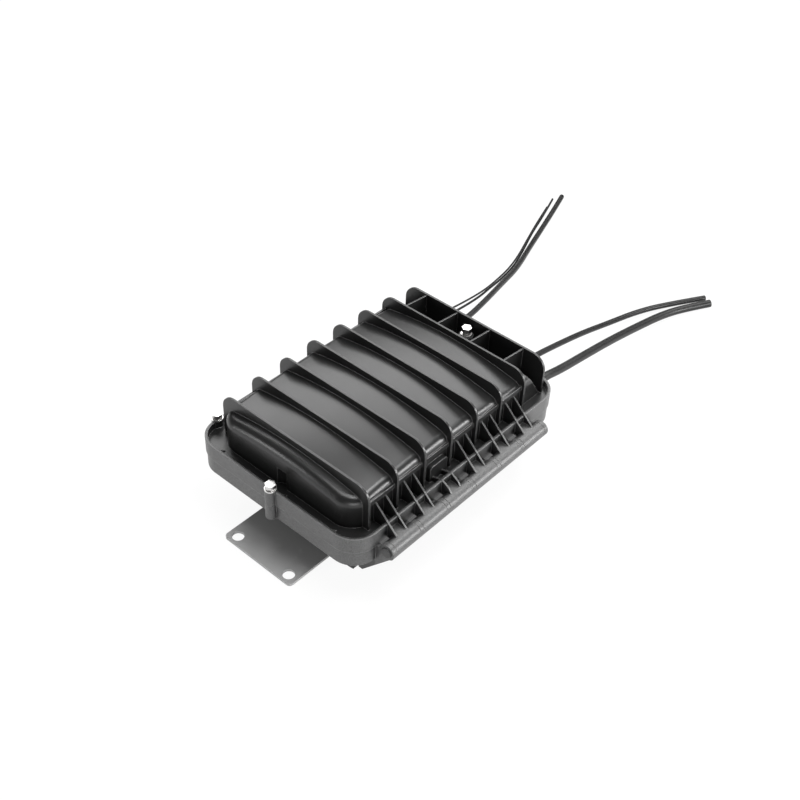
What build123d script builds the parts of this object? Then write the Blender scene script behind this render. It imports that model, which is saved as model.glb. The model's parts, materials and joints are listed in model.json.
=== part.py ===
# Inline splice closure: a ribbed lid hinged on a ribbed tub, bolted shut over a
# gasket, standing on a flat bracket, with three splice trays inside and five
# cable tails leaving the far end.
#
# Frame: X runs along the closure toward the cable end, the hinge is on the -Y
# side, Z is up and the underside of the bracket is Z = 0. Millimetres.

import os
from math import cos, degrees, hypot, radians, sin, sqrt, tan

from build123d import *

os.makedirs("parts", exist_ok=True)

# Outline and heights of the closure
body_length = 325.0
body_width = 228.0
body_corner = 28.0
bracket_thickness = 3.0
tub_drop = 47.4
base_band = 18.6
lid_band = 18.6
seam_gap = 0.5
band_wall = 3.0
base_band_inset = 1.1

band_bottom = bracket_thickness + tub_drop
seam_z = band_bottom + base_band
rim_top = seam_z + lid_band
base_top = seam_z - seam_gap / 2
lid_bottom = seam_z + seam_gap / 2
front_x = -body_length / 2
back_x = body_length / 2
side_y = body_width / 2

# Ribs of the lid
rib_count = 7
rib_pitch = 40.0
rib_thickness = 2.2
rib_half_width = 101.5
rib_corner = 17.0
first_rib_inset = 31.5
crown_rise = 49.0
crown_x = -17.0
crown_radius = 1230.0
crown_reach = 9.0
end_wall_inset = 15.5
end_wall_thickness = 2.4
end_wall_narrowing = 2.5

first_rib_x = front_x + first_rib_inset
end_wall_x = back_x - end_wall_inset
crown_centre_z = rim_top + crown_rise - crown_radius

# Vaulted panels between the ribs
lid_wall = 2.8
panel_inset = 4.5
panel_drop = 7.5
panel_arch_radius = 460.0
panel_edge_radius = 10.0
nose_depth = 15.5
nose_corner = 26.0
nose_narrowing = 1.2
tail_gap = 2.0
tail_slope_run = 30.0
scoop_radius = 7.0
scoop_height = 22.0
scoop_outset = 2.0
bead_height = 5.4
bead_proud = 1.2
bead_rise = 18.4
end_web_spacing = 45.8
end_web_count = 4
end_web_thickness = 1.8

nose_x = first_rib_x - nose_depth
tail_x = end_wall_x - tail_gap
panel_half = rib_half_width - panel_inset

# Gutter between the vault and the outer band
gutter_depth = 8.2
gutter_thickness = 3.4
gutter_web_length = 8.0
gutter_web_thickness = 1.8
gutter_web_places = [-78.6, -11.0, 11.0, 78.6]
gutter_top = rim_top - gutter_depth
gutter_low = gutter_top - gutter_thickness

# Gasket
gasket_offset = 9.5
gasket_width = 6.0
gasket_height = 5.0
gasket_sink = 1.6
groove_clearance = 0.3
tongue_thickness = 2.4
tongue_gap = 0.2
flange_thickness = 4.0
gasket_low = base_top - gasket_sink
gasket_top = gasket_low + gasket_height

# Tub
tub_wall = 3.0
tub_half_width = 92.0
tub_front_inset = 16.5
tub_back_inset = 14.5
tub_plan_corner = 26.0
tub_side_radius = 30.0
tub_end_radius = 40.0
tub_rib_proud = 4.0

# Hinge
hinge_reach = 13.0
barrel_radius = 9.0
pin_radius = 2.5
pin_clearance = 0.05
lug_thickness = 4.8
end_lug_drop = 30.0
middle_lug_drop = 22.0
cap_radius = 5.8
cap_thickness = 2.0
knuckle_gap = 0.4
web_thickness = 1.8
web_half_spacing = 7.0
web_rise = 18.4
plain_bay = 2
pad_length = 26.0
pad_height = 20.0
pad_proud = 5.0
pad_corner = 4.0
hinge_y = -side_y - hinge_reach
hinge_z = seam_z
knuckle_length = rib_pitch - lug_thickness - 2 * knuckle_gap

# Cover bolts
boss_radius = 6.2
tall_boss_radius = 8.0
tall_boss_rise = 24.4
tall_boss_inset = 26.5
bolt_radius = 3.0
bolt_clearance = 0.6
bolt_engagement = 8.0
head_across = 10.0
head_height = 5.6
tall_head_gap = 2.6
collar_radius = 4.0
washer_radius = 6.4
washer_thickness = 1.6
insert_radius = 4.6
insert_bore_clearance = 0.4
insert_length = 9.0
bolt_ribs = [0, 3, 6]
rear_bolt_shift = 15.0
tall_boss_top = rim_top + tall_boss_rise

# Bracket
bracket_overhang = 24.0
bracket_width = 97.0
bracket_corner = 5.0
bracket_hole_radius = 6.5
bracket_hole_inset = 9.6
bracket_hole_spacing = 74.4
screw_radius = 2.5
screw_head_radius = 5.0
screw_head_height = 2.5
screw_length = 12.0
screw_boss_radius = 6.0
screw_boss_height = 12.0
screw_x = 96.0
screw_y = 34.0

# Ports, seals and cables
cable_names = ["cable_main", "cable_drop_a", "cable_drop_b", "cable_feed", "cable_trunk"]
cable_port_y = [53.0, 73.0, 78.4, -47.0, -78.0]
cable_radius = [3.5, 1.5, 1.2, 3.5, 5.0]
seal_names = ["seal_main", "seal_drop", "seal_feed", "seal_trunk"]
seal_y = [53.0, 75.6, -47.0, -78.0]
seal_radius = [7.5, 7.5, 7.5, 8.0]
seal_length = 10.6
seal_gap = 0.2
seal_clearance = 0.3
port_clearance = 1.5
saddle_wall = 3.0
clamp_x = 117.0
clamp_length = 10.0
clamp_bar_low = 54.0
clamp_bar_thickness = 4.0
clamp_block_wall = 3.4
strap_thickness = 1.6
cable_end_x = clamp_x - clamp_length / 2 - 1.5
port_start = clamp_x + clamp_length / 2 + 3

# Splice trays
tray_names = ["tray_lower", "tray_middle", "tray_upper"]
tray_length = 210.0
tray_depth = 125.0
tray_height = 9.0
tray_floor = 1.6
tray_wall = 1.8
tray_corner = 16.0
tray_pitch = 11.5
tray_gap = 0.3
tray_pivot_y = -78.0
tray_pivot_rise = 3.6
tray_back_step = 9.0
ear_radius = 3.6
ear_length = 7.0
pivot_radius = 2.0
pivot_clearance = 0.05
tower_x = 62.0
tower_thickness = 5.0
tower_half_depth = 4.0
tower_side_gap = 0.3
carrier_low = 58.0
carrier_thickness = 2.5
carrier_length = 204.0
carrier_window_margin = 16.0
carrier_post_radius = 5.0
carrier_post_x = 92.0
carrier_post_y = [-62.0, 42.0]
carrier_screw_radius = 1.5
holder_length = 46.0
holder_width = 40.0
holder_height = 6.0
holder_slots = 6
sleeve_radius = 1.3
sleeve_length = 40.0
drum_radius = 22.0
drum_wall = 1.6
drum_height = 6.4
drum_spacing = 118.0

carrier_top = carrier_low + carrier_thickness
tray_lowest = carrier_top + 8.0
tray_near = tray_pivot_y + tray_back_step
tray_far = tray_near + tray_depth


def rib_x(index):
    return first_rib_x + index * rib_pitch


def rib_middle(index):
    return rib_x(index) + rib_thickness / 2


def bay_middle(index):
    return rib_x(index) + (rib_pitch + rib_thickness) / 2


def crown_z(x):
    """Height of the crowned line of rib tops over a point of the length."""
    return crown_centre_z + sqrt(crown_radius**2 - (x - crown_x) ** 2)


side_bolt_places = [(rib_middle(index) - min(index, 1) * rear_bolt_shift, side_y) for index in bolt_ribs]
low_bolt_places = [(front_x, 0)] + side_bolt_places
tall_bolt_place = (back_x - tall_boss_inset, 0)


def vault(inset):
    """Crowned and arched body of the lid, or its hollow when inset by the wall."""
    half = panel_half - inset
    radial = crown_radius - panel_drop - inset
    shoulder = radial - panel_arch_radius + sqrt(panel_arch_radius**2 - half**2)
    lean = radians(crown_reach)
    start = Plane(
        origin=(crown_x, 0, crown_centre_z),
        x_dir=(0, 1, 0),
        z_dir=(cos(lean), 0, sin(lean)),
    )
    pivot = Axis((crown_x, 0, crown_centre_z), (0, 1, 0))
    slope_top = crown_z(tail_x - tail_slope_run)
    slope_shift = inset * hypot(tail_slope_run, slope_top - gutter_top) / (slope_top - gutter_top)
    with BuildPart() as body:
        with BuildSketch(start):
            with BuildLine():
                ThreePointArc((-half, shoulder), (0, radial), (half, shoulder))
                Line((half, shoulder), (half, crown_radius - 100))
                Line((half, crown_radius - 100), (-half, crown_radius - 100))
                Line((-half, crown_radius - 100), (-half, shoulder))
            make_face()
        revolve(axis=pivot, revolution_arc=2 * crown_reach)
        with BuildSketch(Plane.XY.offset(lid_bottom)):
            with BuildLine():
                Polyline(
                    (tail_x - inset, -half),
                    (tail_x - inset, half),
                    (nose_x + inset, half - nose_narrowing),
                    (nose_x + inset, -half + nose_narrowing),
                    close=True,
                )
            make_face()
            front_corners = [v for v in body_corners(nose_x + inset, half - nose_narrowing)]
            fillet(nearest_vertices(front_corners), nose_corner - inset)
        extrude(amount=crown_rise + lid_band, mode=Mode.INTERSECT)
        top = body.faces().sort_by(Axis.Z)[-1]
        edges = [e for e in top.edges() if e.center().X < tail_x - inset - 1]
        fillet(edges, panel_edge_radius - inset)
        with BuildSketch(Plane.XZ):
            with BuildLine():
                Polyline(
                    (tail_x - slope_shift, gutter_top),
                    (tail_x - slope_shift - tail_slope_run, slope_top),
                    (tail_x + 1, slope_top + crown_rise),
                    (tail_x + 1, gutter_top),
                    close=True,
                )
            make_face()
        extrude(amount=body_width, both=True, mode=Mode.SUBTRACT)
    return body.part


def body_corners(x, half):
    return [(x, half), (x, -half)]


def nearest_vertices(places):
    """Vertices of the current sketch that lie at the given places."""
    context = BuildSketch._get_context()
    found = []
    for x, y in places:
        found.append(min(context.vertices(), key=lambda v: hypot(v.X - x, v.Y - y)))
    return found


def rib_outline(x, half, low):
    """Upright rib with rounded upper corners on its own plane."""
    top = crown_z(x)
    with BuildSketch(Plane.YZ.offset(x)) as outline:
        with BuildLine():
            Polyline((-half, low), (-half, top), (half, top), (half, low), close=True)
        make_face()
        fillet(outline.vertices().group_by(Axis.Y)[-1], rib_corner)
    return outline.sketch


def gasket_ring(width):
    """Closed track of the gasket as a flat ring."""
    length = body_length - 2 * gasket_offset
    across = body_width - 2 * gasket_offset
    corner = body_corner - gasket_offset
    with BuildSketch() as ring:
        RectangleRounded(length + width, across + width, corner + width / 2)
        RectangleRounded(length - width, across - width, corner - width / 2, mode=Mode.SUBTRACT)
    return ring.sketch


# Solid shapes that several pieces share
with BuildPart() as port_holes:
    for port_y, radius in zip(cable_port_y, cable_radius):
        with BuildSketch(Plane.YZ.offset(port_start)):
            with Locations((port_y, seam_z)):
                Circle(radius + port_clearance)
        extrude(amount=back_x - port_start + 1)

with BuildPart() as seal_pockets:
    for place_y, radius in zip(seal_y, seal_radius):
        with BuildSketch(Plane.YZ.offset(back_x - band_wall - base_band_inset - seal_length - 1)):
            with Locations((place_y, seam_z)):
                Circle(radius + seal_clearance)
        extrude(amount=seal_length + 1)

with BuildPart() as gasket_cut:
    for place_y, radius in zip(seal_y, seal_radius):
        with BuildSketch(Plane.YZ.offset(back_x - band_wall - base_band_inset - seal_length - 1)):
            with Locations((place_y, seam_z)):
                Circle(radius)
        extrude(amount=seal_length + 1)

# Lid
vault_solid = vault(0)
with BuildPart() as hollow:
    add(vault(lid_wall))
    with BuildSketch(Plane.XY.offset(gutter_low)):
        with Locations((nose_x - scoop_outset, 0)):
            Circle(scoop_radius + lid_wall)
    extrude(amount=scoop_height + gutter_thickness + lid_wall, mode=Mode.SUBTRACT)

with BuildPart() as lid_shell:
    add(vault_solid)
    # Wrench clearance in the nose behind the front bolt
    with BuildSketch(Plane.XY.offset(gutter_low)):
        with Locations((nose_x - scoop_outset, 0)):
            Circle(scoop_radius)
    extrude(amount=scoop_height + gutter_thickness, mode=Mode.SUBTRACT)
    # Ribs over the vault and the wall that ends them
    for index in range(rib_count):
        extrude(rib_outline(rib_x(index), rib_half_width, gutter_low), amount=rib_thickness)
    extrude(
        rib_outline(end_wall_x, rib_half_width - end_wall_narrowing, gutter_low),
        amount=end_wall_thickness,
    )
    # Webs of the far bay
    for index in range(end_web_count):
        web_y = (index - (end_web_count - 1) / 2) * end_web_spacing
        with BuildSketch(Plane.XZ.offset(-web_y - end_web_thickness / 2)):
            with BuildLine():
                Polyline(
                    (rib_x(rib_count - 1), gutter_low),
                    (rib_x(rib_count - 1), crown_z(rib_x(rib_count - 1)) - 1.6),
                    (end_wall_x + 1, crown_z(end_wall_x) - 1.6),
                    (end_wall_x + 1, gutter_low),
                    close=True,
                )
            make_face()
        extrude(amount=end_web_thickness)
    # Bead along both sides of the panels
    with BuildSketch(Plane.YZ.offset(rib_x(0))):
        with Locations((-panel_half, rim_top + bead_rise), (panel_half, rim_top + bead_rise)):
            Rectangle(2 * bead_proud, bead_height, align=(Align.CENTER, Align.MIN))
    extrude(amount=(rib_count - 1) * rib_pitch)
    # Pad on the bay that carries no long webs
    with BuildSketch(Plane.XZ.offset(panel_half - 1)):
        with Locations((bay_middle(plain_bay) + 1, gutter_low)):
            RectangleRounded(
                pad_length,
                pad_height + gutter_thickness,
                pad_corner,
                align=(Align.CENTER, Align.MIN),
            )
    extrude(amount=pad_proud + 1)
    # Gutter floor and outer band
    with BuildSketch(Plane.XY.offset(gutter_low)):
        RectangleRounded(body_length, body_width, body_corner)
    extrude(amount=gutter_thickness)
    with BuildSketch(Plane.XY.offset(lid_bottom)) as band_sketch:
        RectangleRounded(body_length, body_width, body_corner)
        RectangleRounded(
            body_length - 2 * band_wall,
            body_width - 2 * band_wall,
            body_corner - band_wall,
            mode=Mode.SUBTRACT,
        )
    extrude(amount=rim_top - lid_bottom)
    # Tongue that presses on the gasket
    with BuildSketch(Plane.XY.offset(gasket_top + tongue_gap)):
        add(gasket_ring(tongue_thickness))
    extrude(amount=gutter_low - gasket_top)
    # Bolt bosses
    with BuildSketch(Plane.XY.offset(lid_bottom)):
        with Locations(*low_bolt_places):
            Circle(boss_radius)
    extrude(amount=rim_top - lid_bottom)
    # Small webs in the front gutter
    for web_y in gutter_web_places:
        with BuildSketch(Plane.XZ.offset(-web_y - gutter_web_thickness / 2)):
            with BuildLine():
                Polyline(
                    (front_x + band_wall - 1, gutter_top - 1),
                    (front_x + band_wall - 1, rim_top - 1),
                    (front_x + band_wall + gutter_web_length, gutter_top),
                    (front_x + band_wall + gutter_web_length, gutter_top - 1),
                    close=True,
                )
            make_face()
        extrude(amount=gutter_web_thickness)
    # Hollow under the vault, then the tall boss that stands inside it
    add(hollow.part, mode=Mode.SUBTRACT)
    with BuildSketch(Plane.XY.offset(lid_bottom)):
        with Locations(tall_bolt_place):
            Circle(tall_boss_radius)
    extrude(amount=tall_boss_top - lid_bottom)
    # Hinge webs, feet and knuckles
    for bay in range(rib_count - 1):
        middle = bay_middle(bay)
        for side in (-1, 1):
            web_x = middle + side * web_half_spacing - web_thickness / 2
            with BuildSketch(Plane.YZ.offset(web_x)):
                with BuildLine():
                    if bay == plain_bay:
                        Polyline(
                            (-panel_half + 1, gutter_top - 1),
                            (-panel_half - 5, rim_top - 2.5),
                            (-side_y, rim_top + 0.6),
                            (hinge_y + 4, rim_top - 4.6),
                            (hinge_y - 2, hinge_z + 5.4),
                            (hinge_y, hinge_z + 1),
                            (-side_y + 1, hinge_z + 1),
                            (-side_y + 1, gutter_top - 1),
                            close=True,
                        )
                    else:
                        Polyline(
                            (-panel_half + 1, gutter_top - 1),
                            (-panel_half + 1, rim_top + web_rise),
                            (hinge_y - 1.8, hinge_z + 6.4),
                            (hinge_y, hinge_z + 1),
                            (-side_y + 1, hinge_z + 1),
                            (-side_y + 1, gutter_top - 1),
                            close=True,
                        )
                make_face()
            extrude(amount=web_thickness)
        with BuildSketch(Plane.YZ.offset(middle - web_half_spacing)):
            with BuildLine():
                Polyline(
                    (-side_y + 1, hinge_z + 1),
                    (-side_y + 1, hinge_z + barrel_radius + 1),
                    (hinge_y, hinge_z + barrel_radius),
                    (hinge_y, hinge_z + 1),
                    close=True,
                )
            make_face()
        extrude(amount=2 * web_half_spacing)
        with BuildSketch(Plane.YZ.offset(middle - knuckle_length / 2)):
            with Locations((hinge_y, hinge_z)):
                Circle(barrel_radius)
        extrude(amount=knuckle_length)
    # Bores
    with BuildSketch(Plane.YZ.offset(front_x)):
        with Locations((hinge_y, hinge_z)):
            Circle(pin_radius + pin_clearance)
    extrude(amount=body_length, mode=Mode.SUBTRACT)
    with BuildSketch(Plane.XY.offset(lid_bottom)):
        with Locations(*low_bolt_places, tall_bolt_place):
            Circle(bolt_radius + bolt_clearance)
    extrude(amount=tall_boss_top, mode=Mode.SUBTRACT)
    # Upper halves of the ports
    add(port_holes.part, mode=Mode.SUBTRACT)
    add(seal_pockets.part, mode=Mode.SUBTRACT)
lid_shell.part.label = "lid_shell"
export_step(lid_shell.part, "parts/lid_shell.step")


def tub_solid(inset):
    """Tub body with rounded lower edges, or its hollow when inset by the wall."""
    low = bracket_thickness + inset
    left = front_x + tub_front_inset + inset
    right = back_x - tub_back_inset - inset
    half = tub_half_width - inset
    with BuildPart() as tub:
        with BuildSketch(Plane.XY.offset(low)):
            with Locations(((left + right) / 2, 0)):
                RectangleRounded(right - left, 2 * half, tub_plan_corner - inset)
        extrude(amount=base_top - low)
        with BuildSketch(Plane.XZ) as lengthwise:
            with BuildLine():
                Polyline((left, low), (left, base_top), (right, base_top), (right, low), close=True)
            make_face()
            fillet(lengthwise.vertices().group_by(Axis.Y)[0], tub_end_radius - inset)
        extrude(amount=body_width, both=True, mode=Mode.INTERSECT)
        with BuildSketch(Plane.YZ) as crosswise:
            with BuildLine():
                Polyline((-half, low), (-half, base_top), (half, base_top), (half, low), close=True)
            make_face()
            fillet(crosswise.vertices().group_by(Axis.Y)[0], tub_side_radius - inset)
        extrude(amount=body_length, both=True, mode=Mode.INTERSECT)
    return tub.part


# Tub
band_length = body_length - 2 * base_band_inset
band_width = body_width - 2 * base_band_inset
band_corner = body_corner - base_band_inset
tub_hollow = tub_solid(tub_wall)
carrier_places = [(x, y) for x in (-carrier_post_x, carrier_post_x) for y in carrier_post_y]
screw_places = [(x, y) for x in (-screw_x, screw_x) for y in (-screw_y, screw_y)]

with BuildPart() as base_shell:
    add(tub_solid(0))
    # Ribs under the flange
    for index in range(1, rib_count):
        half = tub_half_width + tub_rib_proud
        with BuildSketch(Plane.YZ.offset(rib_x(index))) as tub_rib:
            with BuildLine():
                Polyline(
                    (-half, bracket_thickness),
                    (-half, base_top - 1),
                    (half, base_top - 1),
                    (half, bracket_thickness),
                    close=True,
                )
            make_face()
            fillet(tub_rib.vertices().group_by(Axis.Y)[0], tub_side_radius)
        extrude(amount=rib_thickness)
    # Flange and outer band
    with BuildSketch(Plane.XY.offset(base_top - flange_thickness)):
        RectangleRounded(band_length, band_width, band_corner)
    extrude(amount=flange_thickness)
    with BuildSketch(Plane.XY.offset(band_bottom)):
        RectangleRounded(band_length, band_width, band_corner)
        RectangleRounded(
            band_length - 2 * band_wall,
            band_width - 2 * band_wall,
            band_corner - band_wall,
            mode=Mode.SUBTRACT,
        )
    extrude(amount=base_top - band_bottom)
    # Bolt bosses of the band
    with BuildSketch(Plane.XY.offset(band_bottom)):
        with Locations(*low_bolt_places):
            Circle(boss_radius)
    extrude(amount=base_top - band_bottom)
    # Saddles under the port seals
    for place_y, radius in zip(seal_y, seal_radius):
        with BuildSketch(Plane.XY.offset(seam_z - radius - saddle_wall)):
            with Locations((back_x - band_wall - base_band_inset - seal_length / 2, place_y)):
                Rectangle(seal_length + 2, 2 * (radius + saddle_wall))
        extrude(amount=radius + saddle_wall - seam_gap / 2)
    # Hinge lugs with their gussets
    for index in range(rib_count):
        lug_low = band_bottom - (end_lug_drop if index in (0, rib_count - 1) else middle_lug_drop)
        with BuildSketch(Plane.YZ.offset(rib_middle(index) - lug_thickness / 2)):
            with BuildLine():
                Polyline(
                    (-tub_half_width + 1, base_top - flange_thickness),
                    (-tub_half_width + 1, lug_low),
                    (-tub_half_width - 4, lug_low),
                    (hinge_y - 5.9, hinge_z - 5.5),
                    (hinge_y, hinge_z),
                    (hinge_y, base_top),
                    (-side_y + base_band_inset + 1, base_top),
                    close=True,
                )
            make_face()
            with Locations((hinge_y, hinge_z)):
                Circle(barrel_radius)
        extrude(amount=lug_thickness)
    # Hollow, then what stands inside it
    add(tub_hollow, mode=Mode.SUBTRACT)
    with BuildSketch(Plane.XY.offset(bracket_thickness + tub_wall / 2)):
        with Locations(*carrier_places):
            Circle(carrier_post_radius)
    extrude(amount=carrier_low - bracket_thickness - tub_wall / 2)
    with BuildSketch(Plane.XY.offset(bracket_thickness + tub_wall / 2)):
        with Locations(*screw_places):
            Circle(screw_boss_radius)
    extrude(amount=screw_boss_height)
    with BuildSketch(Plane.XY.offset(band_bottom - 22)):
        with Locations(tall_bolt_place):
            Circle(tall_boss_radius)
    extrude(amount=base_top - band_bottom + 22)
    # Groove, bores and lower halves of the ports
    with BuildSketch(Plane.XY.offset(gasket_low)):
        add(gasket_ring(gasket_width + 2 * groove_clearance))
    extrude(amount=gasket_sink, mode=Mode.SUBTRACT)
    with BuildSketch(Plane.XY.offset(base_top - insert_length)):
        with Locations(*low_bolt_places, tall_bolt_place):
            Circle(insert_radius)
    extrude(amount=insert_length, mode=Mode.SUBTRACT)
    with BuildSketch(Plane.YZ.offset(front_x)):
        with Locations((hinge_y, hinge_z)):
            Circle(pin_radius)
    extrude(amount=body_length, mode=Mode.SUBTRACT)
    with BuildSketch(Plane.XY.offset(bracket_thickness)):
        with Locations(*screw_places):
            Circle(screw_radius)
    extrude(amount=screw_length, mode=Mode.SUBTRACT)
    add(port_holes.part, mode=Mode.SUBTRACT)
    add(gasket_cut.part, mode=Mode.SUBTRACT)
base_shell.part.label = "base_shell"
export_step(base_shell.part, "parts/base_shell.step")


# Gasket in its groove, stopped at the port seals
with BuildPart() as perimeter_gasket:
    with BuildSketch(Plane.XY.offset(gasket_low)):
        add(gasket_ring(gasket_width))
    extrude(amount=gasket_height)
    add(gasket_cut.part, mode=Mode.SUBTRACT)
perimeter_gasket.part.label = "perimeter_gasket"
export_step(perimeter_gasket.part, "parts/perimeter_gasket.step")

# Hinge pin through every lug
pin_start = rib_middle(0) - lug_thickness / 2
pin_end = rib_middle(rib_count - 1) + lug_thickness / 2
with BuildPart() as hinge_pin:
    with BuildSketch(Plane.YZ.offset(pin_start)):
        with Locations((hinge_y, hinge_z)):
            Circle(pin_radius)
    extrude(amount=pin_end - pin_start)
    chamfer(hinge_pin.edges().filter_by(GeomType.CIRCLE), 0.5)
hinge_pin.part.label = "hinge_pin"
export_step(hinge_pin.part, "parts/hinge_pin.step")

# Caps that close the pin's ends
with BuildPart() as hinge_caps:
    for face_x in (pin_start - cap_thickness, pin_end):
        with BuildSketch(Plane.YZ.offset(face_x)):
            with Locations((hinge_y, hinge_z)):
                Circle(cap_radius)
        extrude(amount=cap_thickness)
    chamfer(hinge_caps.faces().sort_by(Axis.X)[0].edges(), 0.6)
    chamfer(hinge_caps.faces().sort_by(Axis.X)[-1].edges(), 0.6)
hinge_caps.part.label = "hinge_caps"
export_step(hinge_caps.part, "parts/hinge_caps.step")


def cover_bolt(place, seat, gap):
    """Hexagon head bolt that passes the lid and ends in an insert of the tub."""
    head_low = seat + washer_thickness + gap
    with BuildPart() as bolt:
        with BuildSketch(Plane.XY.offset(head_low)):
            with Locations(place):
                RegularPolygon(head_across / 2, 6, major_radius=False)
        extrude(amount=head_height)
        with BuildSketch(Plane.XY.offset(head_low)):
            with Locations(place):
                Circle(head_across / 2 + 0.5)
        extrude(amount=head_height, taper=-12, mode=Mode.INTERSECT)
        with BuildSketch(Plane.XY.offset(seat + washer_thickness)):
            with Locations(place):
                Circle(collar_radius)
        extrude(amount=gap + 1)
        with BuildSketch(Plane.XY.offset(base_top - bolt_engagement)):
            with Locations(place):
                Circle(bolt_radius)
        extrude(amount=head_low - base_top + bolt_engagement + 1)
        chamfer(bolt.faces().sort_by(Axis.Z)[0].edges(), 0.8)
    return bolt.part


bolt_names = ["bolt_front", "bolt_side_front", "bolt_side_middle", "bolt_side_rear", "bolt_far"]
bolt_places = low_bolt_places + [tall_bolt_place]
bolt_seats = [rim_top] * len(low_bolt_places) + [tall_boss_top]
bolt_gaps = [0] * len(low_bolt_places) + [tall_head_gap]
for bolt_name, place, seat, gap in zip(bolt_names, bolt_places, bolt_seats, bolt_gaps):
    cover_bolt_part = cover_bolt(place, seat, gap)
    cover_bolt_part.label = bolt_name
    export_step(cover_bolt_part, "parts/" + bolt_name + ".step")

# Washers under the bolt heads
with BuildPart() as cover_washers:
    for place, seat in zip(bolt_places, bolt_seats):
        with BuildSketch(Plane.XY.offset(seat)):
            with Locations(place):
                Circle(washer_radius)
                Circle(bolt_radius + bolt_clearance, mode=Mode.SUBTRACT)
        extrude(amount=washer_thickness)
cover_washers.part.label = "cover_washers"
export_step(cover_washers.part, "parts/cover_washers.step")

# Threaded inserts in the tub bosses
with BuildPart() as thread_inserts:
    with BuildSketch(Plane.XY.offset(base_top - insert_length)):
        with Locations(*bolt_places):
            Circle(insert_radius)
            Circle(bolt_radius + insert_bore_clearance, mode=Mode.SUBTRACT)
    extrude(amount=insert_length)
thread_inserts.part.label = "thread_inserts"
export_step(thread_inserts.part, "parts/thread_inserts.step")

# Flat bracket under the tub
bracket_length = body_length + 2 * bracket_overhang
bracket_hole_x = bracket_length / 2 - bracket_hole_inset
bracket_holes = [
    (x, y)
    for x in (-bracket_hole_x, bracket_hole_x)
    for y in (-bracket_hole_spacing / 2, bracket_hole_spacing / 2)
]
with BuildPart() as mounting_bracket:
    with BuildSketch():
        RectangleRounded(bracket_length, bracket_width, bracket_corner)
        with Locations(*bracket_holes):
            Circle(bracket_hole_radius, mode=Mode.SUBTRACT)
        with Locations(*screw_places):
            Circle(screw_radius, mode=Mode.SUBTRACT)
    extrude(amount=bracket_thickness)
    with Locations(*[(x, y, 0) for x, y in screw_places]):
        Cone(
            screw_head_radius,
            screw_radius,
            screw_head_height,
            align=(Align.CENTER, Align.CENTER, Align.MIN),
            mode=Mode.SUBTRACT,
        )
mounting_bracket.part.label = "mounting_bracket"
export_step(mounting_bracket.part, "parts/mounting_bracket.step")

with BuildPart() as bracket_screws:
    with Locations(*[(x, y, 0) for x, y in screw_places]):
        Cone(
            screw_head_radius,
            screw_radius,
            screw_head_height,
            align=(Align.CENTER, Align.CENTER, Align.MIN),
        )
        Cylinder(screw_radius, screw_length, align=(Align.CENTER, Align.CENTER, Align.MIN))
    with BuildSketch():
        with Locations(*screw_places):
            RegularPolygon(1.6, 6)
    extrude(amount=1.6, mode=Mode.SUBTRACT)
bracket_screws.part.label = "bracket_screws"
export_step(bracket_screws.part, "parts/bracket_screws.step")

# Rubber seals of the cable ports
seal_back = back_x - band_wall - base_band_inset - seal_gap
for seal_name, place_y, radius in zip(seal_names, seal_y, seal_radius):
    with BuildPart() as port_seal:
        with BuildSketch(Plane.YZ.offset(seal_back - seal_length)):
            with Locations((place_y, seam_z)):
                Circle(radius)
            for port_y, cable in zip(cable_port_y, cable_radius):
                if abs(port_y - place_y) < radius:
                    with Locations((port_y, seam_z)):
                        Circle(cable, mode=Mode.SUBTRACT)
        extrude(amount=seal_length)
    port_seal.part.label = seal_name
    export_step(port_seal.part, "parts/" + seal_name + ".step")

# Cable routes, port to bare end
trunk_route = [
    (cable_end_x, -78, seam_z),
    (178, -78, seam_z),
    (215, -77.6, 58.5),
    (266, -75.5, 47.4),
    (330, -73, 33),
    (392, -72, 18),
    (453, -76, 7.6),
    (490, -88, 5),
    (522, -106, 5.2),
]
feed_route = [
    (cable_end_x, -47, seam_z),
    (178, -47, seam_z),
    (213, -46.4, 64.5),
    (262, -43, 50),
    (318, -41, 34.5),
    (379, -42, 17),
    (430, -48, 8.5),
    (475, -62, 4),
    (530, -94, 3.6),
]
main_route = [
    (cable_end_x, 53, seam_z),
    (179, 53, seam_z),
    (215, 57, 62.6),
    (272, 72, 52.4),
    (327, 91, 37.4),
    (386, 110, 22.4),
    (452, 138, 9.4),
    (507, 158, 4.2),
    (561, 176, 3.6),
    (601, 190, 3.8),
]
drop_a_route = [
    (cable_end_x, 73, seam_z),
    (172, 73, seam_z),
    (198, 74.2, 65.6),
    (236, 78.4, 57),
    (274, 85, 48),
    (309, 95.5, 38),
    (344, 105, 28),
    (393, 120, 17),
    (440, 140, 9),
    (490, 162, 4),
    (545, 181, 1.7),
    (588, 197, 2),
]
drop_b_route = [
    (cable_end_x, 78.4, seam_z),
    (170.5, 78.4, seam_z),
    (198, 80.3, 67),
    (244, 87.5, 58.5),
    (290, 98, 46),
    (330, 110, 34),
    (372, 122, 23),
    (415, 137, 13),
    (460, 156, 6),
    (512, 176, 1.5),
    (560, 190, 1.4),
]
cable_routes = [main_route, drop_a_route, drop_b_route, feed_route, trunk_route]


def bend_radii(points):
    """Radius of each bend, from the shorter of its two runs and its turn."""
    radii = []
    for before, here, after in zip(points, points[1:], points[2:]):
        first = Vector(*here) - Vector(*before)
        second = Vector(*after) - Vector(*here)
        half_turn = radians(first.get_angle(second)) / 2
        radii.append(0.45 * min(first.length, second.length) / tan(half_turn))
    return radii


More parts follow.
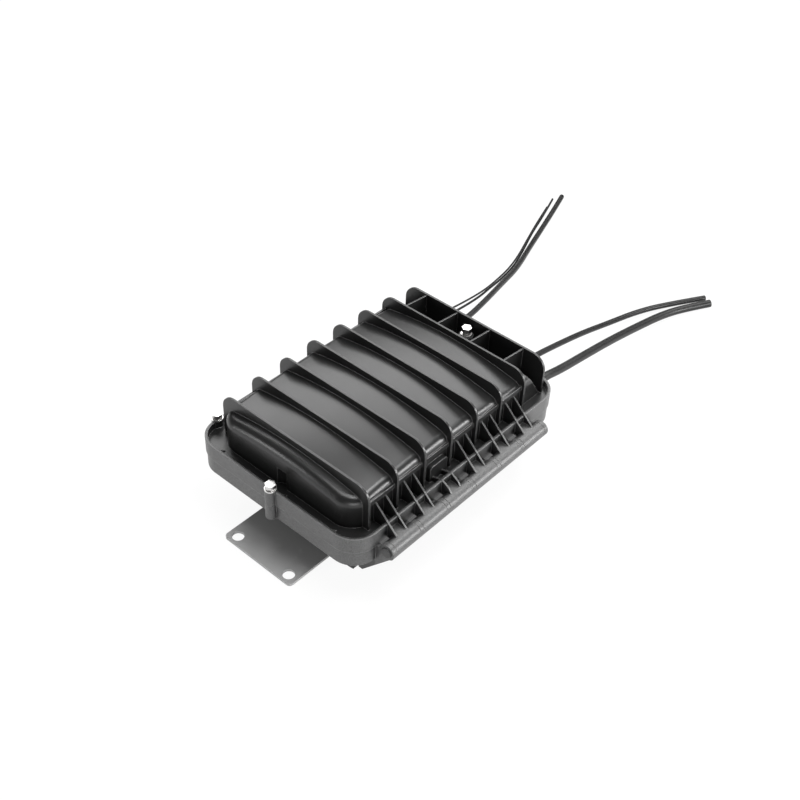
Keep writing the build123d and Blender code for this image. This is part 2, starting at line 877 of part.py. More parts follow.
for cable_name, route, radius in zip(cable_names, cable_routes, cable_radius):
    radii = bend_radii(route)
    print(cable_name, "tightest bend", round(min(radii), 1))
    with BuildPart() as cable:
        with BuildLine() as path:
            FilletPolyline(*route, radius=radii)
        with BuildSketch(Plane.YZ.offset(cable_end_x)):
            with Locations(route[0][1:]):
                Circle(radius)
        sweep(transition=Transition.ROUND)
    cable.part.label = cable_name
    export_step(cable.part, "parts/" + cable_name + ".step")

# Clamp bar across the tub, with a half round block under each cable
clamp_start = clamp_x - clamp_length / 2
clamp_places = [(53.0, 3.5), (75.7, 4.3), (-47.0, 3.5), (-78.0, 5.0)]
with BuildPart() as clamp_bar:
    with BuildSketch(Plane.XY.offset(clamp_bar_low)):
        with Locations((clamp_x, 0)):
            RectangleRounded(clamp_length, 2 * (tub_half_width - tub_wall), 2)
    extrude(amount=clamp_bar_thickness)
    for place_y, radius in clamp_places:
        with BuildSketch(Plane.YZ.offset(clamp_start)):
            with Locations((place_y, clamp_bar_low + 1)):
                Rectangle(
                    2 * (radius + clamp_block_wall),
                    seam_z - clamp_bar_low - 1,
                    align=(Align.CENTER, Align.MIN),
                )
        extrude(amount=clamp_length)
    for port_y, radius in zip(cable_port_y, cable_radius):
        with BuildSketch(Plane.YZ.offset(clamp_start)):
            with Locations((port_y, seam_z)):
                Circle(radius)
        extrude(amount=clamp_length, mode=Mode.SUBTRACT)
clamp_bar.part.label = "clamp_bar"
export_step(clamp_bar.part, "parts/clamp_bar.step")

# Straps that hold the cables down on their blocks
with BuildPart() as cable_straps:
    for place_y, radius in clamp_places:
        with BuildSketch(Plane.YZ.offset(clamp_start + 1)):
            with Locations((place_y, seam_z)):
                Circle(radius + strap_thickness)
                Circle(radius, mode=Mode.SUBTRACT)
            with Locations((place_y, seam_z)):
                Rectangle(
                    2 * (radius + clamp_block_wall),
                    2 * strap_thickness,
                    align=(Align.CENTER, Align.CENTER),
                )
                Circle(radius, mode=Mode.SUBTRACT)
            with Locations((place_y, seam_z)):
                Rectangle(40, 20, align=(Align.CENTER, Align.MAX), mode=Mode.SUBTRACT)
        extrude(amount=clamp_length - 2)
cable_straps.part.label = "cable_straps"
export_step(cable_straps.part, "parts/cable_straps.step")


# Carrier that holds the trays over the tub
tower_top = tray_lowest + 2 * tray_pitch + tray_pivot_rise + tower_half_depth
carrier_near = tray_pivot_y - tower_half_depth
carrier_far = tray_far
carrier_middle = (carrier_near + carrier_far) / 2
pivot_heights = [tray_lowest + level * tray_pitch + tray_pivot_rise for level in range(3)]
with BuildPart() as tray_carrier:
    with BuildSketch(Plane.XY.offset(carrier_low)):
        with Locations((0, carrier_middle)):
            RectangleRounded(carrier_length, carrier_far - carrier_near, 8)
            RectangleRounded(
                carrier_length - 2 * carrier_window_margin,
                carrier_far - carrier_near - 3 * carrier_window_margin,
                8,
                mode=Mode.SUBTRACT,
            )
        with Locations(*carrier_places):
            Circle(carrier_screw_radius, mode=Mode.SUBTRACT)
    extrude(amount=carrier_thickness)
    # Hinge towers
    for side in (-1, 1):
        with BuildSketch(Plane.YZ.offset(side * tower_x - tower_thickness / 2)):
            with BuildLine():
                Polyline(
                    (carrier_near, carrier_low + 1),
                    (carrier_near, tower_top),
                    (tray_pivot_y + tower_half_depth, tower_top),
                    (tray_pivot_y + tower_half_depth, carrier_low + 1),
                    close=True,
                )
            make_face()
            with Locations(*[(tray_pivot_y, z) for z in pivot_heights]):
                Circle(pivot_radius, mode=Mode.SUBTRACT)
        extrude(amount=tower_thickness)
    # Pads under the far edge of the lowest tray
    with BuildSketch(Plane.XY.offset(carrier_top)):
        with Locations((-80, tray_far - 6), (0, tray_far - 6), (80, tray_far - 6)):
            RectangleRounded(14, 8, 2)
    extrude(amount=tray_lowest - carrier_top - tray_gap)
tray_carrier.part.label = "tray_carrier"
export_step(tray_carrier.part, "parts/tray_carrier.step")

with BuildPart() as carrier_screws:
    with Locations(*[(x, y, carrier_top) for x, y in carrier_places]):
        Cylinder(3.0, 2.0, align=(Align.CENTER, Align.CENTER, Align.MIN))
        Cylinder(carrier_screw_radius, carrier_thickness, align=(Align.CENTER, Align.CENTER, Align.MAX))
carrier_screws.part.label = "carrier_screws"
export_step(carrier_screws.part, "parts/carrier_screws.step")

# Pivot pins of the trays
with BuildPart() as tray_pins:
    for side in (-1, 1):
        with BuildSketch(Plane.YZ.offset(side * tower_x - tower_thickness / 2 - ear_length)):
            with Locations(*[(tray_pivot_y, z) for z in pivot_heights]):
                Circle(pivot_radius)
        extrude(amount=tower_thickness + 2 * ear_length)
tray_pins.part.label = "tray_pins"
export_step(tray_pins.part, "parts/tray_pins.step")

# Splice trays
for level, tray_name in enumerate(tray_names):
    tray_low = tray_lowest + level * tray_pitch
    pivot_z = pivot_heights[level]
    with BuildPart() as tray:
        with BuildSketch(Plane.XY.offset(tray_low)) as tray_plan:
            with Locations((0, (tray_near + tray_far) / 2)):
                RectangleRounded(tray_length, tray_depth, tray_corner)
        extrude(amount=tray_height)
        with BuildSketch(Plane.XY.offset(tray_low + tray_floor)):
            with Locations((0, (tray_near + tray_far) / 2)):
                RectangleRounded(
                    tray_length - 2 * tray_wall,
                    tray_depth - 2 * tray_wall,
                    tray_corner - tray_wall,
                )
        extrude(amount=tray_height, mode=Mode.SUBTRACT)
        # Fibre drums at both ends
        with BuildSketch(Plane.XY.offset(tray_low)):
            with Locations(
                (-drum_spacing / 2, (tray_near + tray_far) / 2),
                (drum_spacing / 2, (tray_near + tray_far) / 2),
            ):
                Circle(drum_radius)
                Circle(drum_radius - drum_wall, mode=Mode.SUBTRACT)
        extrude(amount=drum_height)
        # Ears on both sides of each tower
        for side in (-1, 1):
            for hand in (-1, 1):
                shift = tower_thickness / 2 + tower_side_gap + ear_length / 2
                ear_x = side * tower_x + hand * shift
                with BuildSketch(Plane.YZ.offset(ear_x - ear_length / 2)):
                    with Locations((tray_pivot_y, pivot_z)):
                        Circle(ear_radius)
                    with BuildLine():
                        Polyline(
                            (tray_pivot_y, pivot_z - ear_radius),
                            (tray_near + 1, tray_low),
                            (tray_near + 1, tray_low + tray_height - 1),
                            (tray_pivot_y, pivot_z + ear_radius),
                            close=True,
                        )
                    make_face()
                    with Locations((tray_pivot_y, pivot_z)):
                        Circle(pivot_radius + pivot_clearance, mode=Mode.SUBTRACT)
                extrude(amount=ear_length)
    tray.part.label = tray_name
    export_step(tray.part, "parts/" + tray_name + ".step")

    # Splice holder and the sleeves that lie in it
    slot_pitch = holder_width / holder_slots
    holder_y = (tray_near + tray_far) / 2
    slot_places = [(holder_y + (slot - (holder_slots - 1) / 2) * slot_pitch) for slot in range(holder_slots)]
    sleeve_z = tray_low + tray_floor + 1.2 + sleeve_radius
    with BuildPart() as holder:
        with BuildSketch(Plane.XY.offset(tray_low + tray_floor)):
            with Locations((0, holder_y)):
                RectangleRounded(holder_length, holder_width, 1.5)
        extrude(amount=holder_height)
        for slot_y in slot_places:
            with BuildSketch(Plane.YZ.offset(-holder_length / 2)):
                with Locations((slot_y, sleeve_z)):
                    Circle(sleeve_radius + 0.05)
                with Locations((slot_y, sleeve_z)):
                    Rectangle(2 * sleeve_radius + 0.1, 8, align=(Align.CENTER, Align.MIN))
            extrude(amount=holder_length, mode=Mode.SUBTRACT)
    holder.part.label = "splice_holder_" + str(level + 1)
    export_step(holder.part, "parts/splice_holder_" + str(level + 1) + ".step")

    with BuildPart() as sleeves:
        with BuildSketch(Plane.YZ.offset(-sleeve_length / 2)):
            with Locations(*[(slot_y, sleeve_z) for slot_y in slot_places]):
                Circle(sleeve_radius)
        extrude(amount=sleeve_length)
    sleeves.part.label = "splice_sleeves_" + str(level + 1)
    export_step(sleeves.part, "parts/splice_sleeves_" + str(level + 1) + ".step")
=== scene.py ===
import json
from math import cos, pi, radians, sin

import bmesh
import bpy
from mathutils import Matrix, Vector


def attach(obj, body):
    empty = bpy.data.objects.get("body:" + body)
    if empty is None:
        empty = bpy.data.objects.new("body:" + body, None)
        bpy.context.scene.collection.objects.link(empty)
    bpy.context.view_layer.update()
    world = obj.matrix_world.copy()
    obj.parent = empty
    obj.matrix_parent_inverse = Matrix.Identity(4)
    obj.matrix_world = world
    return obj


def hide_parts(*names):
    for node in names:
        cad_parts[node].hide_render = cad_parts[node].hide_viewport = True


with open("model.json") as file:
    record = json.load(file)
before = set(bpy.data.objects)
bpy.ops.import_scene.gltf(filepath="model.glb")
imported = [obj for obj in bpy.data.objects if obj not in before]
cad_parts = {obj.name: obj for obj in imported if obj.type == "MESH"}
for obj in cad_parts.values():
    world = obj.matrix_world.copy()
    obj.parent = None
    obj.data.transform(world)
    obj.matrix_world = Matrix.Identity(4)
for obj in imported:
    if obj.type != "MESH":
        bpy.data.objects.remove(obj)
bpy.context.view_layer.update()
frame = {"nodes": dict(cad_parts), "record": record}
MM = 0.001


class Val:
    """A shader socket that takes part in expressions."""

    def __init__(self, tree, socket):
        self.tree = tree
        self.socket = socket

    def math(self, operation, *others):
        return node(self.tree, "ShaderNodeMath", {"operation": operation}, self, *others)

    def __add__(self, other):
        return self.math("ADD", other)

    def __radd__(self, other):
        return self.math("ADD", other)

    def __sub__(self, other):
        return self.math("SUBTRACT", other)

    def __mul__(self, other):
        return self.math("MULTIPLY", other)

    def __gt__(self, other):
        return self.math("GREATER_THAN", other)


def node(tree, kind, settings, *values, out=0, **named):
    """Adds a node, sets it up, feeds its sockets and gives one of its outputs."""
    made = tree.nodes.new(kind)
    for key, value in settings.items():
        setattr(made, key, value)
    pairs = list(enumerate(values)) + [(k.replace("_", " "), v) for k, v in named.items()]
    for key, value in pairs:
        if isinstance(value, Val):
            tree.links.new(value.socket, made.inputs[key])
        else:
            made.inputs[key].default_value = value
    return Val(tree, made.outputs[out])


class Finish:
    """A material under construction, with the patterns that plastics and metals need."""

    def __init__(self, name, **sockets):
        self.material = bpy.data.materials.new(name)
        self.material.use_nodes = True
        self.tree = self.material.node_tree
        self.shader = self.tree.nodes["Principled BSDF"]
        for key, value in sockets.items():
            self.shader.inputs[key.replace("_", " ")].default_value = value
        self.place = node(self.tree, "ShaderNodeTexCoord", {}, out="Object")

    def noise(self, scale, detail=3.0, roughness=0.55, stretch=(1, 1, 1)):
        where = node(self.tree, "ShaderNodeMapping", {}, self.place, Scale=stretch)
        values = {"Vector": where, "Scale": scale, "Detail": detail, "Roughness": roughness}
        return node(self.tree, "ShaderNodeTexNoise", {}, **values)

    def wave(self, scale, direction):
        settings = {"wave_type": "BANDS", "bands_direction": direction, "wave_profile": "SIN"}
        return node(self.tree, "ShaderNodeTexWave", settings, Vector=self.place, Scale=scale)

    def spread(self, value, low, high, start=0.0, end=1.0):
        return node(self.tree, "ShaderNodeMapRange", {}, value, start, end, low, high)

    def blend(self, factor, first, second):
        made = self.tree.nodes.new("ShaderNodeMix")
        made.data_type = "RGBA"
        for index, value in ((0, factor), (6, first), (7, second)):
            if isinstance(value, Val):
                self.tree.links.new(value.socket, made.inputs[index])
            else:
                made.inputs[index].default_value = value
        return Val(self.tree, made.outputs[2])

    def feed(self, key, value):
        self.tree.links.new(value.socket, self.shader.inputs[key])

    def bump(self, height, depth, strength=1.0, edge=0.0):
        """Surface relief, over edges that the mould leaves slightly round."""
        values = {"Strength": strength, "Distance": depth, "Height": height}
        if edge:
            values["Normal"] = node(self.tree, "ShaderNodeBevel", {"samples": 6}, Radius=edge)
        self.feed("Normal", node(self.tree, "ShaderNodeBump", {}, **values))


def grey(level, warm=0.0):
    return (level * (1 + warm), level, level * (1 - warm), 1)


def painted_edge_highlight(f, radius):
    """Mask of the narrow rounded edges, which are painted paler as a painted edge highlight."""
    rounded = node(f.tree, "ShaderNodeBevel", {"samples": 6}, Radius=radius)
    flat = node(f.tree, "ShaderNodeNewGeometry", {}, out="Normal")
    alike = node(f.tree, "ShaderNodeVectorMath", {"operation": "DOT_PRODUCT"}, rounded, flat, out="Value")
    return f.spread(alike, 1, 0, 0.72, 0.97)


# Outline of the body in plan, and how deep its outer wall counts as outside
body_half_sizes = (0.1625, 0.114)
body_corner = 0.028
wall_depth = 0.0018


def outer_wall(f):
    """Mask of the outside of the band, the lugs and the hinge: beyond the body's own outline."""
    split = f.tree.nodes.new("ShaderNodeSeparateXYZ")
    f.tree.links.new(f.place.socket, split.inputs[0])
    past = [
        (Val(f.tree, split.outputs[axis]).math("ABSOLUTE") - (half - body_corner)).math("MAXIMUM", 0.0)
        for axis, half in enumerate(body_half_sizes)
    ]
    reach = (past[0] * past[0] + past[1] * past[1]).math("SQRT") - body_corner
    return reach > -wall_depth


def open_surface(f, distance):
    """Ambient occlusion mask that leaves out the pockets and the feet of the walls, so they keep the dark
    colour as painted shade.
    """
    settings = {"samples": 6, "only_local": True}
    light = node(f.tree, "ShaderNodeAmbientOcclusion", settings, Distance=distance, out="AO")
    return f.spread(light, 0, 1, 0.5, 0.95)


def black_moulding():
    """Injection moulded black plastic: satin panels, outer walls painted paler as a painted reflection of the
    bright floor over an eroded texture, and painted edge highlights.
    """
    f = Finish("black_moulding", Specular_IOR_Level=0.5)
    cloud = f.noise(9.0, 4.0)
    flow = f.noise(30.0, 3.0, stretch=(0.25, 1, 1))
    grain = f.noise(2600.0, 2.0)
    speck = f.spread(f.noise(1000.0, 3.0, 0.7), 0, 1, 0.33, 0.7)
    scuff = f.noise(170.0, 6.0, 0.7, stretch=(1, 0.18, 0.6))
    mask = f.spread(scuff, 0, 1, 0.66, 0.8)
    edges = painted_edge_highlight(f, 0.0007)
    # Outer walls get painted light; ambient occlusion keeps it out of the pockets, which stay dark as painted
    # shade.
    painted_light_walls = outer_wall(f) * open_surface(f, 0.014)
    smooth = f.blend(mask * 0.35, f.blend(cloud, grey(0.006), grey(0.011)), grey(0.035))
    # Pale speckled wall colour: painted reflection of the bright floor and lamps, over a speckled eroded
    # texture.
    eroded_and_painted_light = f.blend(speck, grey(0.024), grey(0.105))
    walls = f.blend(painted_light_walls, smooth, eroded_and_painted_light)
    # Narrow edges are painted pale grey here as a painted highlight.
    f.feed("Base Color", f.blend(edges * 0.8, walls, grey(0.32)))
    f.feed("Roughness", 0.26 + f.spread(flow, 0, 0.08) + grain * 0.05 + mask * 0.08 + painted_light_walls * 0.08)
    f.bump(grain * 0.6 + flow * 1.6 + cloud * 3.0 + painted_light_walls * speck, 0.00006, 0.5, edge=0.001)
    return f.material


def plain_moulding(name, low, high, rough):
    """Moulding without texture, between two greys."""
    f = Finish(name)
    cloud = f.noise(22.0, 4.0)
    grain = f.noise(2400.0, 2.0)
    f.feed("Base Color", f.blend(cloud, grey(low), grey(high)))
    f.feed("Roughness", rough + cloud * 0.08 + grain * 0.06)
    f.bump(grain + cloud * 2.0, 0.00005, 0.5)
    return f.material


def plated_steel(name, level, rough):
    """Zinc plate with fine lines and duller spots."""
    f = Finish(name, Metallic=1.0)
    cloud = f.noise(260.0, 5.0)
    lines = f.noise(900.0, 2.0, stretch=(1, 1, 0.08))
    spots = f.spread(f.noise(620.0, 4.0, 0.7), 0, 1, 0.62, 0.78)
    clean = f.blend(cloud, grey(level, 0.01), grey(level * 0.86, 0.02))
    f.feed("Base Color", f.blend(spots * 0.5, clean, grey(level * 0.55, 0.04)))
    f.feed("Roughness", rough + lines * 0.12 + spots * 0.2)
    f.bump(lines + spots, 0.00004, 0.5, edge=0.0003)
    return f.material


def turned_brass():
    """Brass with the rings that turning leaves."""
    f = Finish("brass_inserts", Metallic=1.0)
    lines = f.wave(900.0, "Z")
    cloud = f.noise(200.0, 4.0)
    f.feed("Base Color", f.blend(cloud, (0.62, 0.43, 0.16, 1), (0.48, 0.31, 0.10, 1)))
    f.feed("Roughness", 0.24 + lines * 0.12 + cloud * 0.1)
    f.bump(lines, 0.00008, 0.5)
    return f.material


def coated_sheet():
    """Grey coated bracket with rolling lines and rubbed patches."""
    f = Finish("bracket_steel", Metallic=0.35)
    cloud = f.noise(14.0, 5.0)
    lines = f.noise(420.0, 3.0, stretch=(0.05, 1, 1))
    grain = f.noise(1500.0, 3.0)
    rub = f.spread(f.noise(60.0, 6.0, 0.7), 0, 1, 0.6, 0.75)
    f.feed("Base Color", f.blend(rub * 0.4, f.blend(cloud, grey(0.3), grey(0.38)), grey(0.5)))
    f.feed("Roughness", 0.46 + lines * 0.12 + rub * 0.06)
    f.bump(lines + grain * 0.6, 0.00005, 0.6, edge=0.0003)
    return f.material


def seal_rubber():
    """Matt rubber with a faint pale bloom."""
    level = 0.012
    f = Finish("seal_rubber")
    cloud = f.noise(60.0, 4.0)
    grain = f.noise(3000.0, 2.0)
    bloom = f.spread(f.noise(240.0, 5.0, 0.7), 0, 1, 0.55, 0.8)
    f.feed("Base Color", f.blend(bloom * 0.4, f.blend(cloud, grey(level), grey(level * 1.6)), grey(level * 3)))
    f.feed("Roughness", 0.62 + cloud * 0.1 + bloom * 0.1)
    f.bump(grain + cloud, 0.00006, 0.6)
    return f.material


def cable_jacket():
    """Extruded jacket, semi gloss, with faint ripples along it."""
    level = 0.005
    f = Finish("cable_jacket", Specular_IOR_Level=0.3)
    cloud = f.noise(40.0, 4.0)
    grain = f.noise(2200.0, 2.0)
    f.feed("Base Color", f.blend(cloud, grey(level), grey(level * 2.2)))
    f.feed("Roughness", 0.3 + cloud * 0.12 + grain * 0.05)
    f.bump(grain + cloud * 2.0, 0.00006, 0.5)
    return f.material


def clear_sleeve():
    """Clear heat shrink sleeve."""
    f = Finish("clear_sleeves", Alpha=0.72)
    cloud = f.noise(300.0, 3.0)
    f.feed("Base Color", f.blend(cloud, (0.72, 0.76, 0.8, 1), (0.86, 0.88, 0.9, 1)))
    f.feed("Roughness", 0.12 + cloud * 0.1)
    return f.material


finishes = {
    "black_moulding": black_moulding(),
    "dark_moulding": plain_moulding("dark_moulding", 0.02, 0.035, 0.42),
    "grey_moulding": plain_moulding("grey_moulding", 0.5, 0.58, 0.38),
    "holder_moulding": plain_moulding("holder_moulding", 0.68, 0.74, 0.4),
    "clear_sleeves": clear_sleeve(),
    "seal_rubber": seal_rubber(),
    "zinc_steel": plated_steel("zinc_steel", 0.66, 0.24),
    "brass_inserts": turned_brass(),
    "bracket_steel": coated_sheet(),
    "cable_jacket": cable_jacket(),
}


def dress(obj, finish):
    obj.data.materials.clear()
    obj.data.materials.append(finish)


for part in frame["record"]["subparts"]:
    dress(frame["nodes"][part["node"]], finishes[part["material_slot"]])

# Cable tails: control points of each route, in millimetres
cable_end = 110.5
seam = 69.0
routes = {
    "trunk": (
        5.0,
        [
            (cable_end, -78, seam), (178, -78, seam), (215, -77.6, 58.5), (266, -75.5, 47.4),
            (330, -73, 33), (392, -72, 18), (453, -76, 7.6), (490, -88, 5), (522, -106, 5.2),
        ],
    ),
    "feed": (
        3.5,
        [
            (cable_end, -47, seam), (178, -47, seam), (213, -46.4, 64.5), (262, -43, 50),
            (318, -41, 34.5), (379, -42, 17), (430, -48, 8.5), (475, -62, 4), (530, -94, 3.6),
        ],
    ),
    "main": (
        3.5,
        [
            (cable_end, 53, seam), (179, 53, seam), (215, 57, 62.6), (272, 72, 52.4),
            (327, 91, 37.4), (386, 110, 22.4), (452, 138, 9.4), (507, 158, 4.2),
            (561, 176, 3.6), (601, 190, 3.8),
        ],
    ),
    "drop_a": (
        1.5,
        [
            (cable_end, 73, seam), (172, 73, seam), (198, 74.2, 65.6), (236, 78.4, 57),
            (274, 85, 48), (309, 95.5, 38), (344, 105, 28), (393, 120, 17), (440, 140, 9),
            (490, 162, 4), (545, 181, 1.7), (588, 197, 2),
        ],
    ),
    "drop_b": (
        1.2,
        [
            (cable_end, 78.4, seam), (170.5, 78.4, seam), (200, 78.8, 68.4), (244, 81.2, 60),
            (290, 89.5, 47.8), (330, 101.5, 36.2), (372, 114, 26), (415, 130, 17.8), (460, 149.5, 10.9),
            (512, 170.5, 6.4), (560, 187, 5.1),
        ],
    ),
}


def cord_curve(name, radius, points):
    """Smooth NURBS tube over the control points of a route."""
    data = bpy.data.curves.new(name, "CURVE")
    data.dimensions = "3D"
    data.bevel_depth = radius * MM
    data.bevel_resolution = 8
    data.resolution_u = 24
    data.use_fill_caps = True
    spline = data.splines.new("NURBS")
    spline.points.add(len(points) - 1)
    for point, place in zip(spline.points, points):
        point.co = (place[0] * MM, place[1] * MM, place[2] * MM, 1)
    spline.order_u = 3
    spline.use_endpoint_u = True
    cord = bpy.data.objects.new(name, data)
    bpy.context.collection.objects.link(cord)
    data.materials.append(finishes["cable_jacket"])
    return cord


def centre_line(cord):
    """Points along a cord's own spline."""
    bare = cord.copy()
    bare.data = cord.data.copy()
    bare.data.bevel_depth = 0
    mesh = bpy.data.meshes.new_from_object(bare)
    points = [v.co.copy() for v in mesh.vertices]
    bpy.data.objects.remove(bare)
    return points


cords = {}
for short, (radius, points) in routes.items():
    cord = cord_curve("tail_" + short, radius, points)
    line = centre_line(cord)
    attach(cord, "base")
    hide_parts("cable_" + short)
    2 * radius * MM
    "stiff" if radius > 3 else "medium"
    cords[short] = cord


def new_piece(name, bm, finish, body):
    """Turns a bmesh into an object that rides on a body."""
    bmesh.ops.recalc_face_normals(bm, faces=bm.faces)
    mesh = bpy.data.meshes.new(name)
    bm.to_mesh(mesh)
    bm.free()
    for face in mesh.polygons:
        face.use_smooth = True
    mesh.set_sharp_from_angle(angle=radians(35))
    piece = bpy.data.objects.new(name, mesh)
    bpy.context.collection.objects.link(piece)
    mesh.materials.append(finish)
    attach(piece, body)
    return piece


def turned(bm, profile, matrix, steps=24):
    """Adds a turned form: a profile of (radius, height) points spun about its axis."""
    verts = [bm.verts.new((radius, 0, height)) for radius, height in profile]
    edges = [bm.edges.new(pair) for pair in zip(verts, verts[1:])]
    bmesh.ops.spin(
        bm, geom=verts + edges, cent=(0, 0, 0), axis=(0, 0, 1), dvec=(0, 0, 0),
        angle=2 * pi, steps=steps, use_merge=True, use_duplicate=False,
    )
    bmesh.ops.remove_doubles(bm, verts=[v for v in bm.verts if v.index == -1], dist=1e-6)
    bmesh.ops.transform(bm, matrix=matrix, verts=[v for v in bm.verts if v.index == -1])
    bm.verts.index_update()


# Bare ends of the tails: pale core inside the jacket, as (share of the radius, height) points
core = plain_moulding("cable_core", 0.42, 0.6, 0.5)
core_profile = [(0, 0.0006), (0.16, 0.0006), (0.2, 0.0003), (0.55, 0.0003), (0.62, 0)]
for short, cord in cords.items():
    radius = routes[short][0] * MM
    line = centre_line(cord)
    along = (line[-1] - line[-2]).normalized()
    place = Matrix.Translation(line[-1]) @ along.to_track_quat("Z", "Y").to_matrix().to_4x4()
    bm = bmesh.new()
    turned(bm, [(radius * share, height) for share, height in core_profile], place)
    new_piece("core_" + short, bm, core, "base")

# Fibre laid round the two drums of each tray and into the splice holder
fibre_colours = [
    ("fibre_blue", (0.02, 0.12, 0.5, 1)),
    ("fibre_orange", (0.75, 0.2, 0.02, 1)),
    ("fibre_green", (0.03, 0.35, 0.08, 1)),
    ("fibre_brown", (0.18, 0.07, 0.03, 1)),
    ("fibre_grey", (0.35, 0.36, 0.37, 1)),
    ("fibre_white", (0.75, 0.75, 0.74, 1)),
]
fibre_finishes = []
for name, colour in fibre_colours:
    f = Finish(name)
    darker = tuple(c * 0.7 for c in colour[:3]) + (1,)
    f.feed("Base Color", f.blend(f.noise(300.0, 3.0), colour, darker))
    f.feed("Roughness", 0.3 + f.noise(500.0) * 0.15)
    fibre_finishes.append(f.material)

drum_x = 59.0
tray_middle_y = -6.5
tray_floor_z = {"tray_lower_body": 70.1, "tray_middle_body": 81.6, "tray_upper_body": 93.1}
slot_count = 6
slot_pitch = 40.0 / slot_count
fibre_radius = 0.45
turns = 12
turns_in_layer = 6
first_reach = 25.6
reach_step = 1.15
first_height = 0.6
layer_step = 1.1
half_loop_points = 5
entry_offset = 24.5


def fibre_spline(data, points, closed, finish_index):
    """Adds one fibre through points in millimetres."""
    spline = data.splines.new("NURBS")
    spline.points.add(len(points) - 1)
    for point, place in zip(spline.points, points):
        point.co = (place[0] * MM, place[1] * MM, place[2] * MM, 1)
    spline.order_u = 4
    spline.use_endpoint_u = not closed
    spline.use_cyclic_u = closed
    spline.material_index = finish_index


def drum_loop(reach, height):
    """Points of a loop round both drums."""
    loop = []
    for end, start in ((1, -90), (-1, 90)):
        for step in range(half_loop_points):
            angle = radians(start + step * 45)
            loop.append((end * drum_x + reach * cos(angle), tray_middle_y + reach * sin(angle), height))
    return loop


for level, (body, floor_z) in enumerate(tray_floor_z.items()):
    data = bpy.data.curves.new("fibre_lay_%d" % (level + 1), "CURVE")
    data.dimensions = "3D"
    data.bevel_depth = fibre_radius * MM
    data.bevel_resolution = 3
    data.resolution_u = 8
    data.use_fill_caps = True
    for finish in fibre_finishes:
        data.materials.append(finish)
    for turn in range(turns):
        layer, place_in_layer = divmod(turn, turns_in_layer)
        reach = first_reach + place_in_layer * reach_step
        height = floor_z + first_height + layer * layer_step
        fibre_spline(data, drum_loop(reach, height), True, (turn + level) % len(fibre_finishes))
    for slot_index in range(slot_count):
        slot_y = tray_middle_y + (slot_index - (slot_count - 1) / 2) * slot_pitch
        outer_y = tray_middle_y + (1 if slot_index >= slot_count / 2 else -1) * entry_offset
        for end in (-1, 1):
            lead = [
                (end * 20, slot_y, floor_z + 2.5),
                (end * 28, slot_y, floor_z + 2.6),
                (end * 34, slot_y * 0.6 + outer_y * 0.4, floor_z + 3.4),
                (end * 44, outer_y, floor_z + 3.4),
                (end * 56, outer_y, floor_z + 2.8),
            ]
            fibre_spline(data, lead, False, slot_index)
    lay = bpy.data.objects.new("fibre_lay_%d" % (level + 1), data)
    bpy.context.collection.objects.link(lay)
    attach(lay, body)

# Screws that hold the cable straps on their blocks: (y, radius of the strap) in millimetres
strap_places = [(53.0, 3.5), (75.7, 4.3), (-47.0, 3.5), (-78.0, 5.0)]
strap_x = 117.0
strap_top_z = 70.6
strap_ear = 2.1
screw_profile = [
    (0, 0.0005), (0.0006, 0.0005), (0.0006, 0.0010), (0.0011, 0.0009), (0.0015, 0.0004), (0.0015, 0),
]
bm = bmesh.new()
for place_y, radius in strap_places:
    for side in (-1, 1):
        spot = Vector((strap_x, place_y + side * (radius + strap_ear), strap_top_z)) * MM
        turned(bm, screw_profile, Matrix.Translation(spot), 16)
new_piece("strap_screws", bm, finishes["zinc_steel"], "base")

# Floor
floor_half_size = 40
bm = bmesh.new()
bmesh.ops.create_grid(bm, x_segments=1, y_segments=1, size=floor_half_size)
floor_mesh = bpy.data.meshes.new("floor")
bm.to_mesh(floor_mesh)
bm.free()
floor = bpy.data.objects.new("floor", floor_mesh)
bpy.context.collection.objects.link(floor)
paper = Finish("floor_paper", Roughness=0.9)
paper.shader.inputs["Base Color"].default_value = grey(0.82)
tree = paper.tree
rays = tree.nodes.new("ShaderNodeLightPath")
glow = node(tree, "ShaderNodeEmission", {}, grey(1.0), 1.0)
seen_glow = 0.78
camera_extra_glow = 0.14
camera_ray = Val(tree, rays.outputs["Is Camera Ray"])
seen = camera_ray.math("MAXIMUM", Val(tree, rays.outputs["Is Glossy Ray"]))
glow_factor = seen * seen_glow + camera_ray * camera_extra_glow
mixed = tree.nodes.new("ShaderNodeMixShader")
tree.links.new(glow_factor.socket, mixed.inputs[0])
tree.links.new(paper.shader.outputs[0], mixed.inputs[1])
tree.links.new(glow.socket, mixed.inputs[2])
tree.links.new(mixed.outputs[0], tree.nodes["Material Output"].inputs[0])
floor_mesh.materials.append(paper.material)

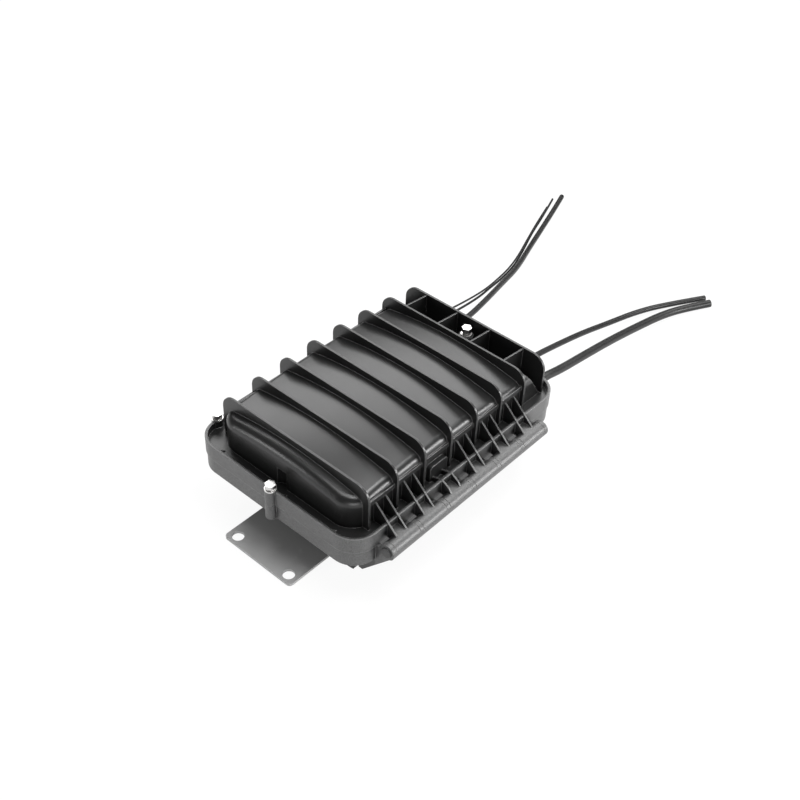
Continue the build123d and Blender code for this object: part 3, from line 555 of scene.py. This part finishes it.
# World
world = bpy.data.worlds.new("studio")
bpy.context.scene.world = world
world.use_nodes = True
sky = world.node_tree
background = sky.nodes["Background"]
background.inputs["Color"].default_value = grey(1.0)
path = sky.nodes.new("ShaderNodeLightPath")
fill_strength = 0.4
camera_extra = 0.6
glossy_drop = 0.34
camera_part = Val(sky, path.outputs["Is Camera Ray"]) * camera_extra
glossy_part = Val(sky, path.outputs["Is Glossy Ray"]) * glossy_drop
sky.links.new((camera_part - glossy_part + fill_strength).socket, background.inputs["Strength"])


def soft_box(name, place, aim, width, height, watts):
    """Rectangular area light that faces a point."""
    light = bpy.data.lights.new(name, "AREA")
    light.shape = "RECTANGLE"
    light.size = width
    light.size_y = height
    light.energy = watts
    lamp = bpy.data.objects.new(name, light)
    lamp.location = place
    lamp.rotation_euler = (Vector(aim) - Vector(place)).to_track_quat("-Z", "Y").to_euler()
    bpy.context.collection.objects.link(lamp)


soft_box("back_box", (1.12, 0.55, 1.25), (0, 0, 0.1), 3.4, 0.9, 48)
soft_box("top_box", (-0.25, 0.2, 1.9), (0, 0, 0.1), 0.5, 0.5, 6)
soft_box("left_box", (-1.5, 1.0, 0.5), (0, 0, 0.1), 0.4, 0.7, 7)
soft_box("right_box", (0.9, -1.5, 0.5), (0.1, 0, 0.1), 0.8, 0.5, 28)
soft_box("front_box", (-1.1, -1.3, 0.35), (-0.05, 0, 0.05), 0.9, 0.4, 8)
soft_box("shoulder_box", (0.2, -0.35, 1.55), (-0.05, -0.08, 0.1), 0.9, 0.5, 24)

# Camera
eye = Vector((-0.7066, -0.6165, 0.9231))
aim = Vector((0.02413, -0.00289, 0.0874))
roll = radians(2.72)
forward = (aim - eye).normalized()
right = forward.cross(Vector((0, 0, 1))).normalized()
up = right.cross(forward)
level_right = right * cos(roll) + up * sin(roll)
level_up = up * cos(roll) - right * sin(roll)
lens = bpy.data.cameras.new("camera")
lens.lens = 53.58
lens.sensor_width = 36
camera = bpy.data.objects.new("camera", lens)
camera.matrix_world = Matrix(
    (
        (level_right.x, level_up.x, -forward.x, eye.x),
        (level_right.y, level_up.y, -forward.y, eye.y),
        (level_right.z, level_up.z, -forward.z, eye.z),
        (0, 0, 0, 1),
    )
)
bpy.context.collection.objects.link(camera)
bpy.context.scene.camera = camera
bpy.context.scene.view_settings.view_transform = "Standard"
